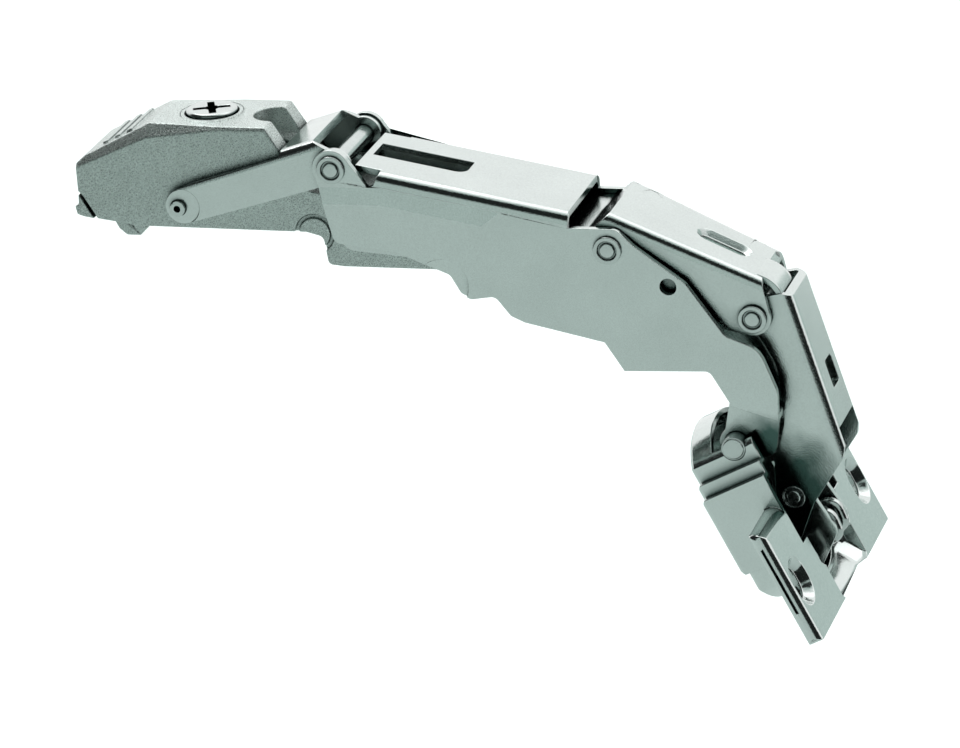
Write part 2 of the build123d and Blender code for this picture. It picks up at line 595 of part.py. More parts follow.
def flange_plate():
    """Flange of two folded plies with half-round side edges, countersunk for its screws."""
    middle = (FLANGE_END + FLANGE_START) / 2
    section = Plane(origin=(FLANGE_START, 0, -FLANGE_THICK / 2), x_dir=(0, 1, 0), z_dir=(1, 0, 0))
    plate = extrude(section * RectangleRounded(2 * FLANGE_HALF, FLANGE_THICK, FLANGE_ROUND),
                    amount=FLANGE_END - FLANGE_START)
    side = outline((FLANGE_START, -FLANGE_THICK, 0), (FLANGE_END, -FLANGE_THICK, 0), (FLANGE_END, 0, 0),
                   (FLANGE_START, 0, 2.3))
    plate = plate & slab(side, -FLANGE_HALF, FLANGE_HALF)
    plan = Pos(middle, 0) * RectangleRounded(FLANGE_END - FLANGE_START, 2 * FLANGE_HALF, 1.2)
    plate = plate & extrude(plan, amount=-2 * FLANGE_THICK)
    for side in (-1, 1):
        y = side * HOLE_SPACING / 2
        through = SlotCenterToCenter(HOLE_STRETCH, 2 * HOLE_RADIUS)
        wide = SlotCenterToCenter(HOLE_STRETCH, 2 * HOLE_SINK_RADIUS)
        plate -= Pos(HOLE_OFFSET, y, -5) * extrude(through, amount=10)
        plate -= Pos(HOLE_OFFSET, y, 0) * extrude(wide, amount=-1.6, taper=40)
        plate -= Pos(6.8, side * FLANGE_HALF, -1.6) * Box(12.5, 1.6, 0.35)
    return plate


def strip_dip():
    """Drawn lip in the flange's lower strip, with sloping ends, that the cup link passes over."""
    lip = outline((11.0, 3.0, 0), (11.0, -4.2, 0), (16.2, -3.8, 2.0), (20.2, -0.8, 0), (24.0, 1.9, 0), (24.0, 3.0, 0))
    half = TAIL_HALF + LAYER_GAP + 0.4
    near_end = extrude(side_plane(-half) * lip, amount=2.4, taper=35)
    return slab(lip, -half, half) + near_end + mirror(near_end, about=Plane.XZ)


def tail_bracket():
    """Two ears on the cup's floor that stand inside the cup link at its tail pin."""
    s, h = to_cup(TAIL_PIVOT)
    floor = -CUP_DEPTH + CUP_WALL
    outer = bracket_half()
    ear = outline((-8.6, floor, 0), (12.6, floor, 0), (13.4, -2.4, 1.0), (9.2, 2.9, 1.6), (2.8, 2.2, 2.0),
                  (-7.4, 3.4, 2.0), (-8.8, -3.0, 2.0))
    body = pair(ear, outer - 1.2, outer)
    base = outline((-8.6, floor, 0), (12.6, floor, 0), (12.6, floor + 1.2, 0), (-8.6, floor + 1.2, 0))
    body += slab(base, -outer, outer)
    room = PIN_RADIUS + DRIFT_ROOM
    body -= slab(outline((s + room, h + room, 2.0), (s + room, h - room - 2.3, 2.0),
                         (s - room - 4.4, h - room - 2.3, 2.0), (s - room - 4.4, h + room, 2.0)),
                 -2 * outer, 2 * outer)
    body -= rod(SPRING_CENTRE, SMALL_PIN_RADIUS, -2 * outer, 2 * outer)
    return cup_plane().location * body


def bracket_half():
    """Half-width over the tail bracket's ears, clear of the cup link."""
    return TAIL_HALF - INNER_SHEET - 0.7


def spring_plate():
    """Upright guard plate on the near side, between the cup link and the cup's wall."""
    floor = -CUP_DEPTH + CUP_WALL
    low = TAIL_HALF + 0.5
    plate = outline((8.3, floor, 0), (12.6, floor, 0), (13.0, -3.6, 1.5), (11.8, -1.3, 1.6), (8.3, -1.6, 0))
    plate = slab(plate, -low - 1.2, -low)
    foot = outline((8.3, floor, 0), (10.6, floor, 0), (10.6, floor + 1.0, 0), (8.3, floor + 1.0, 0))
    plate += slab(foot, -low - 3.2, -low)
    return cup_plane().location * plate


def spring_pin():
    """Cross pin between the bracket's ears that the spring hooks over."""
    return cup_plane().location * rod(SPRING_CENTRE, SMALL_PIN_RADIUS, -bracket_half(), bracket_half())


def closing_spring():
    """Two hoops of thick wire that stand on the bracket's base."""
    base = -CUP_DEPTH + CUP_WALL + 1.5
    left = SPRING_CENTRE[0] - 3.4
    right = SPRING_CENTRE[0] + 3.0
    path = FilletPolyline((left, 0, base), (left, 0, 2.6), (right - 1.5, 0, 2.2), (right, 0, base),
                          radius=(1.9, 1.6))
    section = Plane(origin=path @ 0, z_dir=path % 0) * RegularPolygon(SPRING_WIRE, SPRING_SIDES)
    hoop = sweep(section, path=path)
    reach = bracket_half() - 1.2 - SPRING_WIRE - 0.15
    return cup_plane().location * (Pos(0, -reach, 0) * hoop + Pos(0, reach, 0) * hoop)


def cup_pin():
    """Pin through the cup's cheeks, its ends flush with them."""
    return rod(CUP_PIVOT, CUP_PIN_RADIUS, -CHEEK_HALF, CHEEK_HALF)


def knee_pin():
    return rivet(KNEE_PIVOT, PIN_RADIUS, OUTER_HALF)


def cross_pin():
    return rivet(CROSS_PIVOT, PIN_RADIUS, OUTER_HALF)


def elbow_pin():
    return rivet(ELBOW_PIVOT, PIN_RADIUS, ELBOW_HALF + 0.17)


def tail_pin():
    return rivet(TAIL_PIVOT, PIN_RADIUS, TAIL_HALF, TAIL_HEAD_RADIUS, TAIL_HEAD_HEIGHT)


def front_pin():
    return rod(FRONT_PIVOT, PIN_RADIUS, -MIDDLE_HALF, MIDDLE_HALF)


def lever_pin():
    reach = ARM_HALF - ARM_WALL + 0.9
    return rod(LEVER_PIVOT, SMALL_PIN_RADIUS, -reach, reach)


def main():
    os.makedirs("parts", exist_ok=True)
    nodes = (arm_body, depth_screw, side_screw, clip_slide, release_lever, lever_pin, lever_spring,
             rear_pins, arm_link, knee_pin, outer_link, cross_pin, inner_link, front_pin, elbow_pin,
             cup_link, tail_pin, cup, cup_pin, tail_bracket, spring_plate, spring_pin, closing_spring)
    for make in nodes:
        export_step(make(), f"parts/{make.__name__}.step")


main()
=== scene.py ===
import bmesh
import bpy
import json
import math
from mathutils import Matrix, Vector


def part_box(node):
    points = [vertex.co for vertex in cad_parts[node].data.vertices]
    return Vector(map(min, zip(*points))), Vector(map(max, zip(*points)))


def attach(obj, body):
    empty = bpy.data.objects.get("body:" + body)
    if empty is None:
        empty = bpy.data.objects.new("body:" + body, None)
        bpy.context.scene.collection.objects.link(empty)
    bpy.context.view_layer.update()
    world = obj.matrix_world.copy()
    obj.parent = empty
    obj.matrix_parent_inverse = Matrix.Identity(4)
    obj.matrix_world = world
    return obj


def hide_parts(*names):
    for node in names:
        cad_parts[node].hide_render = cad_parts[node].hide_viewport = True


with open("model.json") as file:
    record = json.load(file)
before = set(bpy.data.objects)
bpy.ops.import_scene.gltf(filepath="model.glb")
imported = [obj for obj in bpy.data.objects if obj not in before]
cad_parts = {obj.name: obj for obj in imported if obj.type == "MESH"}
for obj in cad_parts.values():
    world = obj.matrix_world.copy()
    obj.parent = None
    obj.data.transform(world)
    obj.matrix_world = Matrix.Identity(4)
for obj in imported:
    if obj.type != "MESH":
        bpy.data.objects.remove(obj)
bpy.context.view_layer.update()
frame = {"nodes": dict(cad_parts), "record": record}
nodes = frame["nodes"]
MM = 0.001

# Camera at the photograph's viewpoint, found from the pins' and the cup's vanishing lines.
# Lens and sensor are in millimetres, all else of it in metres.
CAMERA_PLACE = (0.2679, -0.8081, 0.2993)
CAMERA_RIGHT = (0.9590, 0.2751, -0.0675)
CAMERA_UP = (-0.0374, 0.3591, 0.9325)
LENS = 195.0
SENSOR = 36.0
NEAREST = 0.01
FARTHEST = 50

# Colours of the plated finishes
NICKEL = (0.700, 0.758, 0.738)
BRIGHT = (0.715, 0.770, 0.752)
ZINC = (0.590, 0.655, 0.632)
PIN = (0.640, 0.695, 0.678)
SCREW = (0.660, 0.710, 0.695)
DARK = (0.560, 0.605, 0.590)

# Colour of the shade painted in closed gaps, the lean that puts the painted shade above raised edges as a
# painted shadow, and how open a gap may be to count as closed
CREVICE_SHADE = (0.010, 0.045, 0.038)
CREVICE_SHADE_LEAN = (0.0, 0.0, -0.55)
CLOSED = 0.3

# Patch of painted shade: its colour, the share of its radius that it covers fully, and how much its edge
# wanders
SHADE_PATCH = (0.10, 0.17, 0.155)
SHADE_PATCH_CORE = 0.45
SHADE_PATCH_WANDER = 0.5
SHADE_PATCH_NOISE = 260.0

# Clouds, specks and grain of the plating: the clouds' noise per metre, the noise levels between which
# each one fades, the share of the specks that is lighter than the rest, and the relief's depth in metres
CLOUD_NOISE = 110.0
CLOUD_SPAN = (0.3, 0.7)
SPECKLE_SPAN = (0.36, 0.64)
SPECKLE_LIGHT = 0.4
GRAIN_SPAN = (0.3, 0.7)
RELIEF_DEPTH = 0.0002


def add_camera():
    """Camera in the photograph's place, its axes made square to each other."""
    data = bpy.data.cameras.new("camera")
    data.lens = LENS
    data.sensor_width = SENSOR
    data.clip_start = NEAREST
    data.clip_end = FARTHEST
    cam = bpy.data.objects.new("camera", data)
    bpy.context.scene.collection.objects.link(cam)
    right = Vector(CAMERA_RIGHT).normalized()
    up = Vector(CAMERA_UP)
    up = (up - right * up.dot(right)).normalized()
    back = right.cross(up)
    turn = Matrix((right, up, back)).transposed().to_4x4()
    cam.matrix_world = Matrix.Translation(CAMERA_PLACE) @ turn
    bpy.context.scene.camera = cam


class Nodes:
    """A node tree, with short ways to add and link its nodes."""

    def __init__(self, tree):
        self.tree = tree

    def add(self, kind, **values):
        node = self.tree.nodes.new(kind)
        for key, value in values.items():
            if hasattr(node, key):
                setattr(node, key, value)
            else:
                node.inputs[key].default_value = value
        return node

    def link(self, source, target):
        self.tree.links.new(source, target)

    def math(self, operation, first, second):
        node = self.add("ShaderNodeMath", operation=operation)
        for socket, value in zip(node.inputs, (first, second)):
            if isinstance(value, (int, float)):
                socket.default_value = value
            else:
                self.link(value, socket)
        return node.outputs[0]

    def rise(self, value, low, high):
        """Smooth step from 0 at low to 1 at high, or down from 1 where low is the larger."""
        node = self.add("ShaderNodeMapRange", interpolation_type="SMOOTHSTEP")
        start, end = (low, high) if low < high else (high, low)
        node.inputs["From Min"].default_value = start
        node.inputs["From Max"].default_value = end
        node.inputs["To Min"].default_value = 0.0 if low < high else 1.0
        node.inputs["To Max"].default_value = 1.0 if low < high else 0.0
        self.link(value, node.inputs["Value"])
        return node.outputs["Result"]

    def ramp(self, value, stops):
        """Colour that fades between two stops, each one a place and a colour."""
        node = self.add("ShaderNodeValToRGB")
        for mark, (place, colour) in zip(node.color_ramp.elements, stops):
            mark.position = place
            mark.color = (*colour, 1)
        self.link(value, node.inputs["Fac"])
        return node.outputs["Color"]

    def span(self, value, places, first, last):
        """Ramp from the first colour to the last between two places."""
        low, high = places
        return self.ramp(value, [(low, first), (high, last)])

    def noise(self, scale, detail=3.0, rough=0.55):
        """Noise that stays on its piece, its scale counted per metre."""
        place = self.add("ShaderNodeTexCoord")
        tex = self.add("ShaderNodeTexNoise", Scale=scale, Detail=detail, Roughness=rough)
        self.link(place.outputs["Object"], tex.inputs["Vector"])
        return tex.outputs["Fac"]

    def times(self, first, second):
        node = self.add("ShaderNodeMix", data_type="RGBA", blend_type="MULTIPLY")
        node.inputs["Factor"].default_value = 1.0
        self.link(first, node.inputs["A"])
        self.link(second, node.inputs["B"])
        return node.outputs["Result"]


def new_material(name):
    mat = bpy.data.materials.new(name)
    mat.use_nodes = True
    sh = Nodes(mat.node_tree)
    return mat, sh, mat.node_tree.nodes["Principled BSDF"]


def grey(value):
    return (value, value, value)


def tinted(colour, level):
    return tuple(min(1, c * level) for c in colour)


def painted_crevice_shade(sh, reach, light):
    """Painted shade in gaps, and painted shadow along the upper edge of whatever stands proud."""
    place = sh.add("ShaderNodeNewGeometry")
    lean = sh.add("ShaderNodeVectorMath", operation="ADD")
    lean.inputs[1].default_value = CREVICE_SHADE_LEAN
    sh.link(place.outputs["Normal"], lean.inputs[0])
    closed = sh.add("ShaderNodeAmbientOcclusion", samples=8, Distance=reach * MM)
    sh.link(lean.outputs["Vector"], closed.inputs["Normal"])
    return sh.ramp(closed.outputs["AO"], [(CLOSED, CREVICE_SHADE), (light, grey(1.0))])


def paint_shade_patch(sh, centre, radius):
    """Patch of painted shade round a point of the row frame, thinning outwards."""
    place = sh.add("ShaderNodeTexCoord")
    away = sh.add("ShaderNodeVectorMath", operation="DISTANCE")
    away.inputs[1].default_value = [c * MM for c in centre]
    sh.link(place.outputs["Object"], away.inputs[0])
    swing = sh.math("SUBTRACT", sh.noise(SHADE_PATCH_NOISE), 0.5)
    wave = sh.math("MULTIPLY", swing, SHADE_PATCH_WANDER * radius * MM)
    edge = sh.math("ADD", away.outputs["Value"], wave)
    return sh.ramp(sh.math("DIVIDE", edge, radius * MM), [(SHADE_PATCH_CORE, SHADE_PATCH), (1.0, grey(1.0))])


def metal(name, colour, rough, grain, grain_scale, cloud, speckle, bump, reach, light, film=None):
    """Plated metal: clouded tint, fine grain in its gloss, a faint relief, painted shade in its crevices and,
    where given, a patch of painted shade.
    """
    mat, sh, surface = new_material(name)
    surface.inputs["Metallic"].default_value = 1.0
    clouds = sh.noise(CLOUD_NOISE, detail=4.0, rough=0.6)
    tint = sh.span(clouds, CLOUD_SPAN, tinted(colour, 1 - cloud), tinted(colour, 1 + cloud))
    fine = sh.noise(grain_scale, detail=2.0, rough=0.6)
    specks = sh.span(fine, SPECKLE_SPAN, grey(1 - speckle), grey(1 + SPECKLE_LIGHT * speckle))
    tint = sh.times(tint, specks)
    if film:
        # A patch of painted shade darkens the colour round the given point.
        tint = sh.times(tint, paint_shade_patch(sh, *film))
    # Painted shade in crevices, and painted shadow above raised edges, darken the colour here.
    sh.link(sh.times(tint, painted_crevice_shade(sh, reach, light)), surface.inputs["Base Color"])
    gloss = sh.span(fine, GRAIN_SPAN, grey(rough * (1 - grain)), grey(rough * (1 + grain)))
    sh.link(gloss, surface.inputs["Roughness"])
    relief = sh.add("ShaderNodeBump", Strength=bump, Distance=RELIEF_DEPTH)
    sh.link(fine, relief.inputs["Height"])
    sh.link(relief.outputs["Normal"], surface.inputs["Normal"])
    return mat


# Centre in the row frame and radius of the patch of painted shade on the outer link's toes and on the cup
# link
TOE_SHADE_PATCH = ((66.5, -11.0, -30.2), 8.0)
TAIL_SHADE_PATCH = ((68.0, -6.6, -39.5), 14.0)


def plate(name, **values):
    """Satin nickel of the pressed plates, with the values in which one plate differs."""
    usual = {"rough": 0.12, "grain": 0.35, "grain_scale": 4200.0, "cloud": 0.03, "speckle": 0.08,
             "bump": 0.12, "reach": 5.0, "light": 0.76}
    return metal(name, NICKEL, **{**usual, **values})


def steel(name, colour, rough, bump, **values):
    """Smooth steel of the pins, screws and springs."""
    usual = {"grain": 0.3, "grain_scale": 2400.0, "cloud": 0.05, "speckle": 0.05, "reach": 2.5, "light": 0.72}
    return metal(name, colour, rough=rough, bump=bump, **{**usual, **values})


def all_metals():
    """Every material by name: one for each slot, and three for plates that differ from it."""
    return {
        "cast_zinc": metal("cast_zinc", ZINC, rough=0.30, grain=0.4, grain_scale=5200.0, cloud=0.05,
                           speckle=0.34, bump=0.6, reach=3.0, light=0.72),
        "plate_nickel": plate("plate_nickel"),
        # The plates of the toes and of the cup link carry a patch of painted shade.
        "toe_nickel_shaded": plate("toe_nickel_shaded", film=TOE_SHADE_PATCH),
        "tail_nickel_shaded": plate("tail_nickel_shaded", reach=6.0, light=0.8, film=TAIL_SHADE_PATCH),
        "guard_nickel": plate("guard_nickel", rough=0.3, speckle=0.05, reach=0.8, light=0.6),
        "cup_nickel": metal("cup_nickel", BRIGHT, rough=0.12, grain=0.35, grain_scale=2600.0, cloud=0.03,
                            speckle=0.04, bump=0.06, reach=6.0, light=0.76),
        "pin_steel": steel("pin_steel", PIN, 0.18, 0.04, light=0.8),
        "screw_steel": steel("screw_steel", SCREW, 0.20, 0.04),
        "spring_steel": steel("spring_steel", DARK, 0.13, 0.02, speckle=0.04, reach=3.0)}


# Rounding of edges in millimetres, then in degrees the angle from which an edge is rounded and the one
# up to which faces count as flat, then in metres the gap that is closed between points
PLAIN_EDGE = 0.1
EDGE_WIDTH = {"arm_body": 0.22, "release_lever": 0.2, "cup": 0.16, "knee_pin": 0.16, "cross_pin": 0.16,
              "elbow_pin": 0.16, "tail_pin": 0.08, "rear_pins": 0.08}
EDGE_ANGLE = 9.5
FLAT_ANGLE = 1.0
WELD_GAP = 1e-6


def soften(obj, width):
    """Small rounding on the edges of a solid, its flat faces kept flat."""
    weld = obj.modifiers.new("weld", "WELD")
    weld.merge_threshold = WELD_GAP
    whole = obj.modifiers.new("whole", "DECIMATE")
    whole.decimate_type = "DISSOLVE"
    whole.angle_limit = math.radians(FLAT_ANGLE)
    edge = obj.modifiers.new("edge", "BEVEL")
    edge.width = width * MM
    edge.segments = 2
    edge.limit_method = "ANGLE"
    edge.angle_limit = math.radians(EDGE_ANGLE)
    edge.use_clamp_overlap = False
    flat = obj.modifiers.new("flat", "WEIGHTED_NORMAL")
    flat.mode = "FACE_AREA"
    flat.weight = 100


def round_wire(obj):
    """The coil's faceted wire made round."""
    weld = obj.modifiers.new("weld", "WELD")
    weld.merge_threshold = WELD_GAP
    smooth = obj.modifiers.new("round", "SUBSURF")
    smooth.levels = 2
    smooth.render_levels = 2


def shade_smooth(mesh):
    for face in mesh.polygons:
        face.use_smooth = True


# Nodes whose material isn't their slot's own
SPECIAL = {"outer_link": "toe_nickel_shaded", "cup_link": "tail_nickel_shaded", "spring_plate": "guard_nickel"}


def finish_nodes(metals):
    """Material, smooth shading and rounded edges for every solid of the part."""
    for entry in frame["record"]["subparts"]:
        name = entry["node"]
        slot = entry["material_slot"]
        obj = nodes[name]
        obj.data.materials.clear()
        obj.data.materials.append(metals[SPECIAL.get(name, slot)])
        shade_smooth(obj.data)
        if name == "closing_spring":
            round_wire(obj)
        else:
            soften(obj, EDGE_WIDTH.get(name, PLAIN_EDGE))


def add_piece(name, verts, faces, mat, body):
    """New mesh that rides one body of the part."""
    mesh = bpy.data.meshes.new(name)
    mesh.from_pydata(verts, [], faces)
    mesh.validate()
    shade_smooth(mesh)
    mesh.materials.append(mat)
    piece = bpy.data.objects.new(name, mesh)
    bpy.context.scene.collection.objects.link(piece)
    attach(piece, body)
    return piece


# Steps round a turned button
TURN_STEPS = 48


def turned(name, centre, side, start, profile, mat, body):
    """Turned button on a pin's end: profile points (radius, height) from its edge to its middle."""
    x, z = centre
    steps = TURN_STEPS
    verts = []
    for radius, height in profile[:-1]:
        for step in range(steps):
            turn = 2 * math.pi * step / steps
            verts.append(((x + radius * math.cos(turn)) * MM, side * (start + height) * MM,
                          (z + radius * math.sin(turn)) * MM))
    verts.append((x * MM, side * (start + profile[-1][1]) * MM, z * MM))
    faces = []
    for ring in range(len(profile) - 2):
        for step in range(steps):
            a = ring * steps + step
            b = ring * steps + (step + 1) % steps
            quad = (a, b, b + steps, a + steps)
            faces.append(quad if side > 0 else quad[::-1])
    last = (len(profile) - 2) * steps
    for step in range(steps):
        fan = (last + step, last + (step + 1) % steps, len(verts) - 1)
        faces.append(fan if side > 0 else fan[::-1])
    return add_piece(name, verts, faces, mat, body)


# A button's rounded shoulder, its crown, the share of its radius where the crown begins, and the hole
# left in its hidden back
SHOULDER = 0.22
SHOULDER_STEPS = 4
CROWN = 0.04
CROWN_START = 0.55
BACK_HOLE = 0.05


def button_profile(radius, height):
    """Raised disc with a rounded shoulder and a slight crown."""
    points = [(BACK_HOLE, 0.0), (radius, 0.0), (radius, height - SHOULDER)]
    for step in range(1, SHOULDER_STEPS + 1):
        turn = math.pi / 2 * step / SHOULDER_STEPS
        inward = SHOULDER * (1 - math.cos(turn))
        below = SHOULDER * (1 - math.sin(turn))
        points.append((radius - inward, height - below))
    points.append((radius * CROWN_START, height + CROWN / 2))
    points.append((0, height + CROWN))
    return points


# Pivot of the cup link in the cup, which the record leaves open
TAIL = (70.2, -39.8)


def pin_ends(mat):
    """Raised middle of each riveted head, on both sides."""
    pins = frame["record"]["behaviour"]["joints"]
    place = {joint["name"]: joint["pos_m"] for joint in pins if "pos_m" in joint}

    def centre(joint):
        x, _, z = place[joint]
        return (x / MM, z / MM)

    # Name, centre, body, node, then the button's radius, its height and how deep it sits in the head
    heads = (("knee_button", centre("knee_fold"), "door_link", "knee_pin", 1.3, 0.42, 0.45),
             ("cross_button", centre("cross_fold"), "door_link", "cross_pin", 1.3, 0.42, 0.45),
             ("elbow_button", centre("elbow_fold"), "cross_link", "elbow_pin", 1.3, 0.42, 0.45),
             ("tail_button", TAIL, "tail_link", "tail_pin", 1.2, 0.3, 0.25),
             ("cup_button", centre("cup_fold"), "door_cup", "cup_pin", 1.85, 0.22, 0.0))
    for name, where, body, node, radius, height, sunk in heads:
        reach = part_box(node)[1][1] / MM
        profile = button_profile(radius, height)
        for side, end in ((-1, "near"), (1, "far")):
            turned(f"{name}_{end}", where, side, reach - sunk, profile, mat, body)


# Cup frame: s runs along the flange, down from the cup's centre, and h out of the door
CUP_CENTRE = (70.5, -39.9)
ALONG = (0.4446, -0.8957)
OUT = (0.8957, 0.4446)

# Rounding of a sheet's rim in millimetres, and the angle from which it is rounded, in degrees
SHEET_EDGE = 0.15
SHEET_EDGE_ANGLE = 50


def cup_point(s, y, h):
    """A point of the cup frame, in metres of the row frame."""
    x = CUP_CENTRE[0] + s * ALONG[0] + h * OUT[0]
    z = CUP_CENTRE[1] + s * ALONG[1] + h * OUT[1]
    return (x * MM, y * MM, z * MM)


def sheet(name, rows, thick, mat, body):
    """Sheet over a grid of points, given its thickness behind them."""
    width = len(rows[0])
    verts = [point for row in rows for point in row]
    faces = []
    for r in range(len(rows) - 1):
        for c in range(width - 1):
            a = r * width + c
            faces.append((a, a + 1, a + width + 1, a + width))
    piece = add_piece(name, verts, faces, mat, body)
    solid = piece.modifiers.new("sheet", "SOLIDIFY")
    solid.thickness = thick * MM
    solid.offset = -1
    rim = piece.modifiers.new("edge", "BEVEL")
    rim.width = SHEET_EDGE * MM
    rim.segments = 2
    rim.limit_method = "ANGLE"
    rim.angle_limit = math.radians(SHEET_EDGE_ANGLE)
    return piece


# Lip of the cup's mouth, in the cup frame: half its width, s at its inner and outer edge, h at its foot,
# its middle and its ends, the share of its half that is level, and how much it bulges
LIP_HALF = 9.6
LIP_INNER = 15.6
LIP_OUTER = 19.15
LIP_LOW = -6.2
LIP_TOP = -1.5
LIP_END_TOP = 0.05
LIP_MIDDLE = 0.72
LIP_BULGE = 0.6
LIP_STEPS = 32
LIP_TURNS = 16
LIP_SHEET = 0.5


def cup_lip(mat):
    """Drawn lip that rounds from the cup's end wall out to the flange's lower strip."""
    rows = []
    for step in range(LIP_STEPS + 1):
        y = -LIP_HALF + 2 * LIP_HALF * step / LIP_STEPS
        side = abs(y) / LIP_HALF
        inner = math.sqrt(LIP_INNER ** 2 - y ** 2)
        ending = max(0, side - LIP_MIDDLE) / (1 - LIP_MIDDLE)
        top = LIP_TOP + (LIP_END_TOP - LIP_TOP) * ending
        row = []
        for turn in range(LIP_TURNS + 1):
            angle = math.pi / 2 * turn / LIP_TURNS
            across = 1 - math.cos(angle)
            up = (1 - LIP_BULGE) * across + LIP_BULGE * math.sin(angle)
            s = inner + (LIP_OUTER - inner) * across
            h = LIP_LOW + (top - LIP_LOW) * up
            row.append(cup_point(s, y, h))
        rows.append(row)
    return sheet("cup_lip", rows, LIP_SHEET, mat, "door_cup")


# Curled tongue at the elbow: its two sides, and the start, bend and end of its curl
TONGUE_NEAR = -6.4
TONGUE_FAR = 1.6
TONGUE_START = (65.4, 0.62)
TONGUE_BEND = (69.25, -0.45)
TONGUE_END = (70.0, -3.5)
TONGUE_STEPS = 16
TONGUE_ROWS = 8

# Sheet of the added plates
PLATE_SHEET = 1.1


def curl(t):
    """Point of the tongue's curl at share t of its way, on a quadratic curve."""
    shares = ((1 - t) ** 2, 2 * t * (1 - t), t ** 2)
    points = (TONGUE_START, TONGUE_BEND, TONGUE_END)
    x = sum(share * point[0] for share, point in zip(shares, points))
    z = sum(share * point[1] for share, point in zip(shares, points))
    return (x, z)


def elbow_tongue(mat):
    """Tongue that curls down from the end of the inner link's web."""
    rows = []
    for step in range(TONGUE_ROWS + 1):
        y = TONGUE_NEAR + (TONGUE_FAR - TONGUE_NEAR) * step / TONGUE_ROWS
        marks = [curl(mark / TONGUE_STEPS) for mark in range(TONGUE_STEPS + 1)]
        rows.append([(x * MM, y * MM, z * MM) for x, z in marks])
    return sheet("elbow_tongue", rows, PLATE_SHEET, mat, "cross_link")


# Where the plain tongue of the solid begins, how wide it is and how far down it reaches
PLAIN_TONGUE_START = 66.95
PLAIN_TONGUE_HALF = 6.0
PLAIN_TONGUE_LOW = -5


def on_plain_tongue(vert):
    past = vert.co.x > PLAIN_TONGUE_START * MM
    between = abs(vert.co.y) < PLAIN_TONGUE_HALF * MM
    above = vert.co.z > PLAIN_TONGUE_LOW * MM
    return past and between and above


def bare_inner_link():
    """The inner link with its plain tongue taken off, so that the curled one can stand there."""
    mesh = nodes["inner_link"].data.copy()
    form = bmesh.new()
    form.from_mesh(mesh)
    bmesh.ops.remove_doubles(form, verts=form.verts, dist=WELD_GAP)
    plain = [face for face in form.faces if any(on_plain_tongue(vert) for vert in face.verts)]
    bmesh.ops.delete(form, geom=plain, context="FACES")
    rim = [edge for edge in form.edges if edge.is_boundary]
    bmesh.ops.holes_fill(form, edges=rim, sides=0)
    bmesh.ops.recalc_face_normals(form, faces=form.faces)
    form.to_mesh(mesh)
    form.free()
    link = bpy.data.objects.new("crossed_link", mesh)
    bpy.context.scene.collection.objects.link(link)
    shade_smooth(mesh)
    soften(link, PLAIN_EDGE)
    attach(link, "cross_link")
    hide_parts("inner_link")


# Flank of the cup link: front and back edge from the elbow down, and its plane
FLANK_FRONT = ((57.2, -8.0), (60.4, -12.4), (64.2, -18.6), (66.2, -25.2))
FLANK_BACK = ((66.6, -8.2), (68.6, -14.6), (69.4, -20.0), (69.6, -25.6))
FLANK_Y = -6.55


def link_flank(mat):
    """Near flank of the cup link behind the outer link's edge, down from the elbow."""
    rows = []
    for front, back in zip(FLANK_FRONT, FLANK_BACK):
        rows.append([(x * MM, FLANK_Y * MM, z * MM) for x, z in (back, front)])
    return sheet("link_flank", rows, PLATE_SHEET, mat, "tail_link")


# Guard under the knee: its span along x, its top and bottom, its plane and its sheet
GUARD_X = (-10.2, -5.6)
GUARD_Z = (16.4, 12.6)
GUARD_Y = 6.0
GUARD_SHEET = 0.8


def knee_guard(mat):
    """Small plate inside the outer link under the knee, which closes the view down through it."""
    rows = [[(x * MM, GUARD_Y * MM, z * MM) for x in GUARD_X] for z in GUARD_Z]
    return sheet("knee_guard", rows, GUARD_SHEET, mat, "door_link")


# Bands of the studio: between which values of its direction each one fades in. The direction's wide and
# flat are x and z without their sign.
FRONT = [("y", (0.05, -0.25))]
OVERHEAD = [("y", (-0.2, -0.3)), ("z", (0.42, 0.54)), ("wide", (0.8, 0.65))]
BESIDE = [("wide", (0.42, 0.55)), ("y", (0.12, 0.02)), ("flat", (0.5, 0.36))]
CORNER = [("x", (-0.42, -0.55)), ("y", (0.3, 0.15)), ("z", (0.28, 0.4))]
LOW = [("x", (0.3, 0.42)), ("y", (0.4, 0.6)), ("z", (0.3, 0.16))]
STRIP = [("y", (0.05, 0.14)), ("y", (0.56, 0.46)), ("z", (0.55, 0.7))]

# Brightness of the studio and its bands, and the tint of its darker parts
BACK_LEVEL = 1.05
FRONT_LEVEL = 0.58
LOW_LEVEL = 0.62
STRIP_LEVEL = 1.5
FLAG_LEVEL = 0.03
FRONT_TONE = (0.80, 0.95, 0.91)


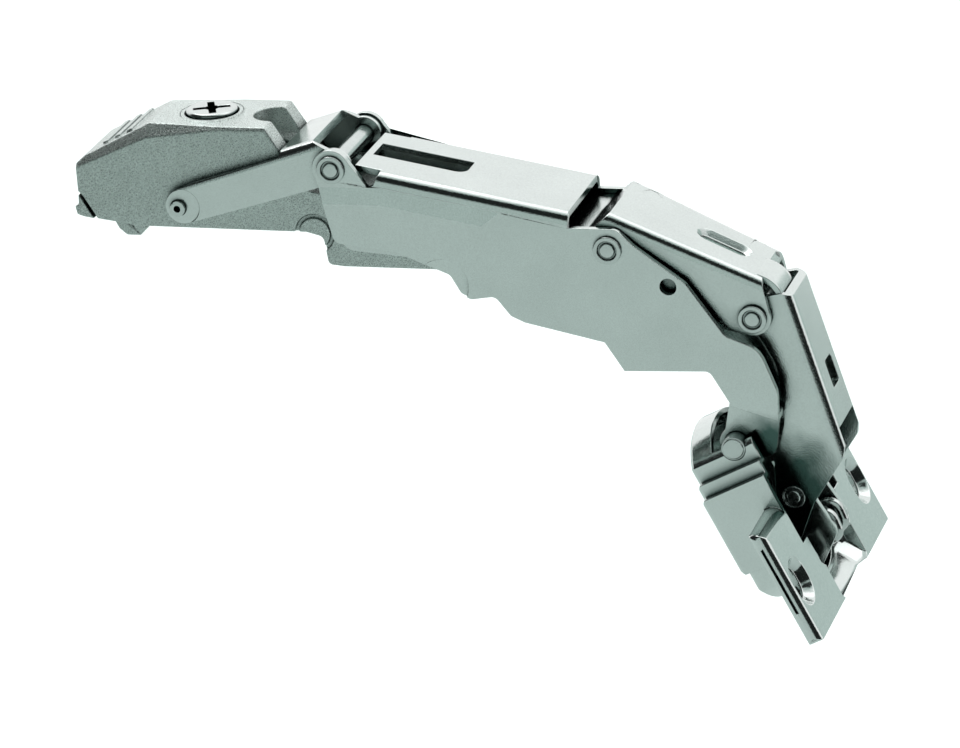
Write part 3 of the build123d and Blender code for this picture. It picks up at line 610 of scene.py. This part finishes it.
def add_world():
    """White studio with a darker front, dimmer low down on the right, and dark flags round the camera."""
    world = bpy.data.worlds.new("studio")
    bpy.context.scene.world = world
    world.use_nodes = True
    sky = Nodes(world.node_tree)
    shade = world.node_tree.nodes["Background"]
    way = sky.add("ShaderNodeTexCoord")
    split = sky.add("ShaderNodeSeparateXYZ")
    sky.link(way.outputs["Generated"], split.inputs["Vector"])
    x, y, z = split.outputs
    ways = {"x": x, "y": y, "z": z}
    ways["wide"] = sky.math("ABSOLUTE", x, 0)
    ways["flat"] = sky.math("ABSOLUTE", z, 0)

    def product(first, *others):
        total = first
        for other in others:
            total = sky.math("MULTIPLY", total, other)
        return total

    def band(limits):
        return product(*[sky.rise(ways[name], start, end) for name, (start, end) in limits])

    def less(share, level):
        """Factor that falls from 1 to the level as the share goes from 0 to 1."""
        return sky.math("SUBTRACT", 1.0, sky.math("MULTIPLY", share, 1 - level))

    front = band(FRONT)
    low = band(LOW)
    flags = sky.math("MAXIMUM", band(OVERHEAD), band(BESIDE))
    dark = sky.math("MAXIMUM", flags, band(CORNER))
    level = sky.math("SUBTRACT", BACK_LEVEL, sky.math("MULTIPLY", front, BACK_LEVEL - FRONT_LEVEL))
    level = sky.math("ADD", level, sky.math("MULTIPLY", band(STRIP), STRIP_LEVEL - BACK_LEVEL))
    level = product(level, less(dark, FLAG_LEVEL), less(low, LOW_LEVEL))
    path = sky.add("ShaderNodeLightPath")
    mix = sky.add("ShaderNodeMix", data_type="FLOAT")
    mix.inputs["B"].default_value = 1.0
    sky.link(path.outputs["Is Camera Ray"], mix.inputs["Factor"])
    sky.link(level, mix.inputs["A"])
    sky.link(mix.outputs["Result"], shade.inputs["Strength"])
    unseen = sky.math("SUBTRACT", 1.0, path.outputs["Is Camera Ray"])
    toned = sky.math("MULTIPLY", sky.math("MAXIMUM", front, low), unseen)
    tone = sky.span(toned, (0.0, 1.0), grey(1.0), FRONT_TONE)
    sky.link(tone, shade.inputs["Color"])


# Key lamp: its place, where it points, its two sides and its power in watts
KEY_PLACE = (-0.5, 0.5, 1.1)
KEY_TARGET = (0.02, 0, 0)
KEY_SIZE = (0.7, 0.5)
KEY_POWER = 4.0


def add_lights():
    """One soft lamp above and behind the hinge."""
    data = bpy.data.lights.new("key", "AREA")
    data.shape = "RECTANGLE"
    data.size, data.size_y = KEY_SIZE
    data.energy = KEY_POWER
    lamp = bpy.data.objects.new("key", data)
    lamp.location = KEY_PLACE
    lamp.rotation_mode = "QUATERNION"
    lamp.rotation_quaternion = (Vector(KEY_TARGET) - Vector(KEY_PLACE)).to_track_quat("-Z", "Y")
    bpy.context.scene.collection.objects.link(lamp)


# Floor: half its side and its height in metres, its colour, the light it sends to the camera alone, and
# its roughness
FLOOR_REACH = 1.3
FLOOR_HEIGHT = -0.26
FLOOR_COLOUR = (0.68, 0.775, 0.75, 1)
FLOOR_SEEN = (0.6, 0.6, 0.6, 1)
FLOOR_ROUGH = 0.9


def add_floor():
    """Plain pale floor, which looks white to the camera."""
    r = FLOOR_REACH
    z = FLOOR_HEIGHT
    mesh = bpy.data.meshes.new("floor")
    mesh.from_pydata([(-r, -r, z), (r, -r, z), (r, r, z), (-r, r, z)], [], [(0, 1, 2, 3)])
    floor = bpy.data.objects.new("floor", mesh)
    bpy.context.scene.collection.objects.link(floor)
    mat, sh, surface = new_material("floor")
    surface.inputs["Base Color"].default_value = FLOOR_COLOUR
    surface.inputs["Roughness"].default_value = FLOOR_ROUGH
    surface.inputs["Specular IOR Level"].default_value = 0.0
    path = sh.add("ShaderNodeLightPath")
    sh.link(path.outputs["Is Camera Ray"], surface.inputs["Emission Strength"])
    surface.inputs["Emission Color"].default_value = FLOOR_SEEN
    mesh.materials.append(mat)


add_camera()
metals = all_metals()
finish_nodes(metals)
pin_ends(metals["pin_steel"])
bare_inner_link()
elbow_tongue(metals["plate_nickel"])
cup_lip(metals["cup_nickel"])
link_flank(metals["tail_nickel_shaded"])
knee_guard(metals["plate_nickel"])
add_world()
add_lights()
add_floor()
bpy.context.scene.view_settings.view_transform = "Standard"
